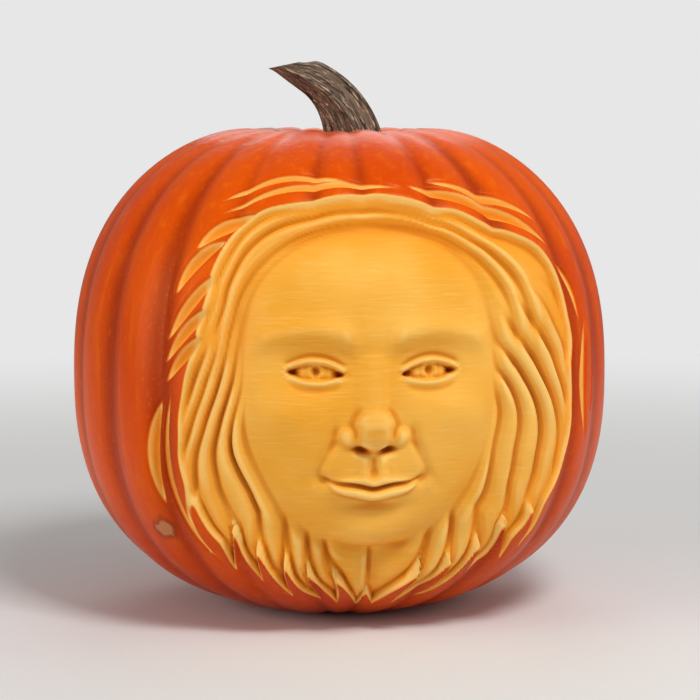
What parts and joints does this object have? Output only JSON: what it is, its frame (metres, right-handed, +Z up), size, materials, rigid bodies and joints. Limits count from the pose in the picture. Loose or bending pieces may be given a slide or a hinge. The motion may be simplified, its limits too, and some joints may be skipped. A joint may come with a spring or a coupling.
{
  "type": "carved pumpkin",
  "caption": "Ribbed field pumpkin with a calm face carved in relief into its front, a woody stem on top and a flat spot to stand on",
  "frame": {"origin": "on the ground, under the middle of the object's bounding box", "axes": "+Z up, the carved face looks along -Y, +X to the right of someone looking at the face"},
  "size_m": [0.321, 0.3162, 0.3275],
  "materials": {
    "rind": "smooth orange rind with a soft sheen; stands in for rind outside and moist golden flesh in the carving",
    "stem": "dry, fluted, grey-brown woody stem"
  },
  "bodies": {
    "root": {"carved_pumpkin": "rind", "stem": "stem"}
  },
  "joints": []
}
